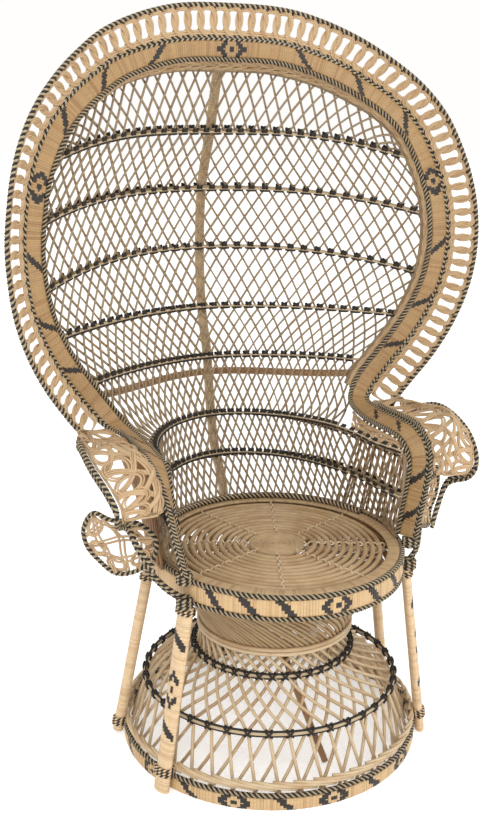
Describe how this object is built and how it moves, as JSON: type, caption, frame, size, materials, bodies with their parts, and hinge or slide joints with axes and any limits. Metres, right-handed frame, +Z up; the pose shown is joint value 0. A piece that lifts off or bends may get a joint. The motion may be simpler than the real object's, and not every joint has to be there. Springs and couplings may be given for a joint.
{
  "type": "peacock chair",
  "caption": "Woven rattan peacock chair with a tall open fan back, looped border, scrolled arms and a round seat on a waisted cane pedestal.",
  "frame": {"origin": "centre of the bounding box in X and Y, on the floor", "axes": "+Z up, the front of the chair faces -Y, +X is to the right of a viewer who faces the front"},
  "size_m": [1.005, 0.7462, 1.4717],
  "materials": {
    "natural_cane": "peeled rattan cane, satin, pale tan with warm brown patches",
    "honey_wrap": "flat rattan strips wrapped side by side, satin honey tan",
    "brown_pole": "stained rattan poles, satin mid brown",
    "dyed_cane": "dyed rattan strands, satin charcoal brown",
    "two_tone_cord": "twisted cord of cream and charcoal strands"
  },
  "bodies": {
    "root": {"base_band": "honey_wrap", "base_cord": "two_tone_cord", "base_plait": "natural_cane", "pedestal_lower_canes": "natural_cane", "pedestal_upper_canes": "natural_cane", "pedestal_inner_canes": "natural_cane", "pedestal_ring_lower": "dyed_cane", "pedestal_ring_upper": "dyed_cane", "waist_hoop": "natural_cane", "pedestal_top_hoop": "brown_pole", "seat_apron": "honey_wrap", "apron_cord_top": "two_tone_cord", "apron_cord_bottom": "two_tone_cord", "seat_frame": "brown_pole", "seat_margin": "natural_cane", "seat_spiral": "natural_cane", "seat_disc": "natural_cane", "seat_spokes": "brown_pole", "rim_band": "honey_wrap", "rim_cord_inner": "two_tone_cord", "rim_cord_outer": "two_tone_cord", "arm_band_right": "honey_wrap", "arm_band_left": "honey_wrap", "border_loops": "natural_cane", "border_cord": "two_tone_cord", "rim_soffit": "natural_cane", "back_lattice": "natural_cane", "arm_lattice": "natural_cane", "woven_row_1": "dyed_cane", "woven_row_2": "dyed_cane", "woven_row_3": "dyed_cane", "woven_row_4": "dyed_cane", "woven_row_5": "dyed_cane", "woven_row_6": "dyed_cane", "woven_row_7": "dyed_cane", "arm_plait_right": "natural_cane", "arm_plait_left": "natural_cane", "seat_back_braid": "dyed_cane", "rear_pole": "natural_cane", "brace_bar": "brown_pole", "front_leg_right": "natural_cane", "front_leg_left": "natural_cane", "rear_leg_right": "natural_cane", "rear_leg_left": "natural_cane", "inner_post": "dyed_cane", "arm_wing_right": "natural_cane", "arm_wing_left": "natural_cane", "wing_cord_right": "two_tone_cord", "wing_cord_left": "two_tone_cord", "ear_loops_right": "natural_cane", "ear_loops_left": "natural_cane", "ear_cord_right": "two_tone_cord", "ear_cord_left": "two_tone_cord", "corner_cord_right": "two_tone_cord", "corner_cord_left": "two_tone_cord", "arm_wall_right": "brown_pole", "arm_wall_left": "brown_pole"}
  },
  "joints": []
}
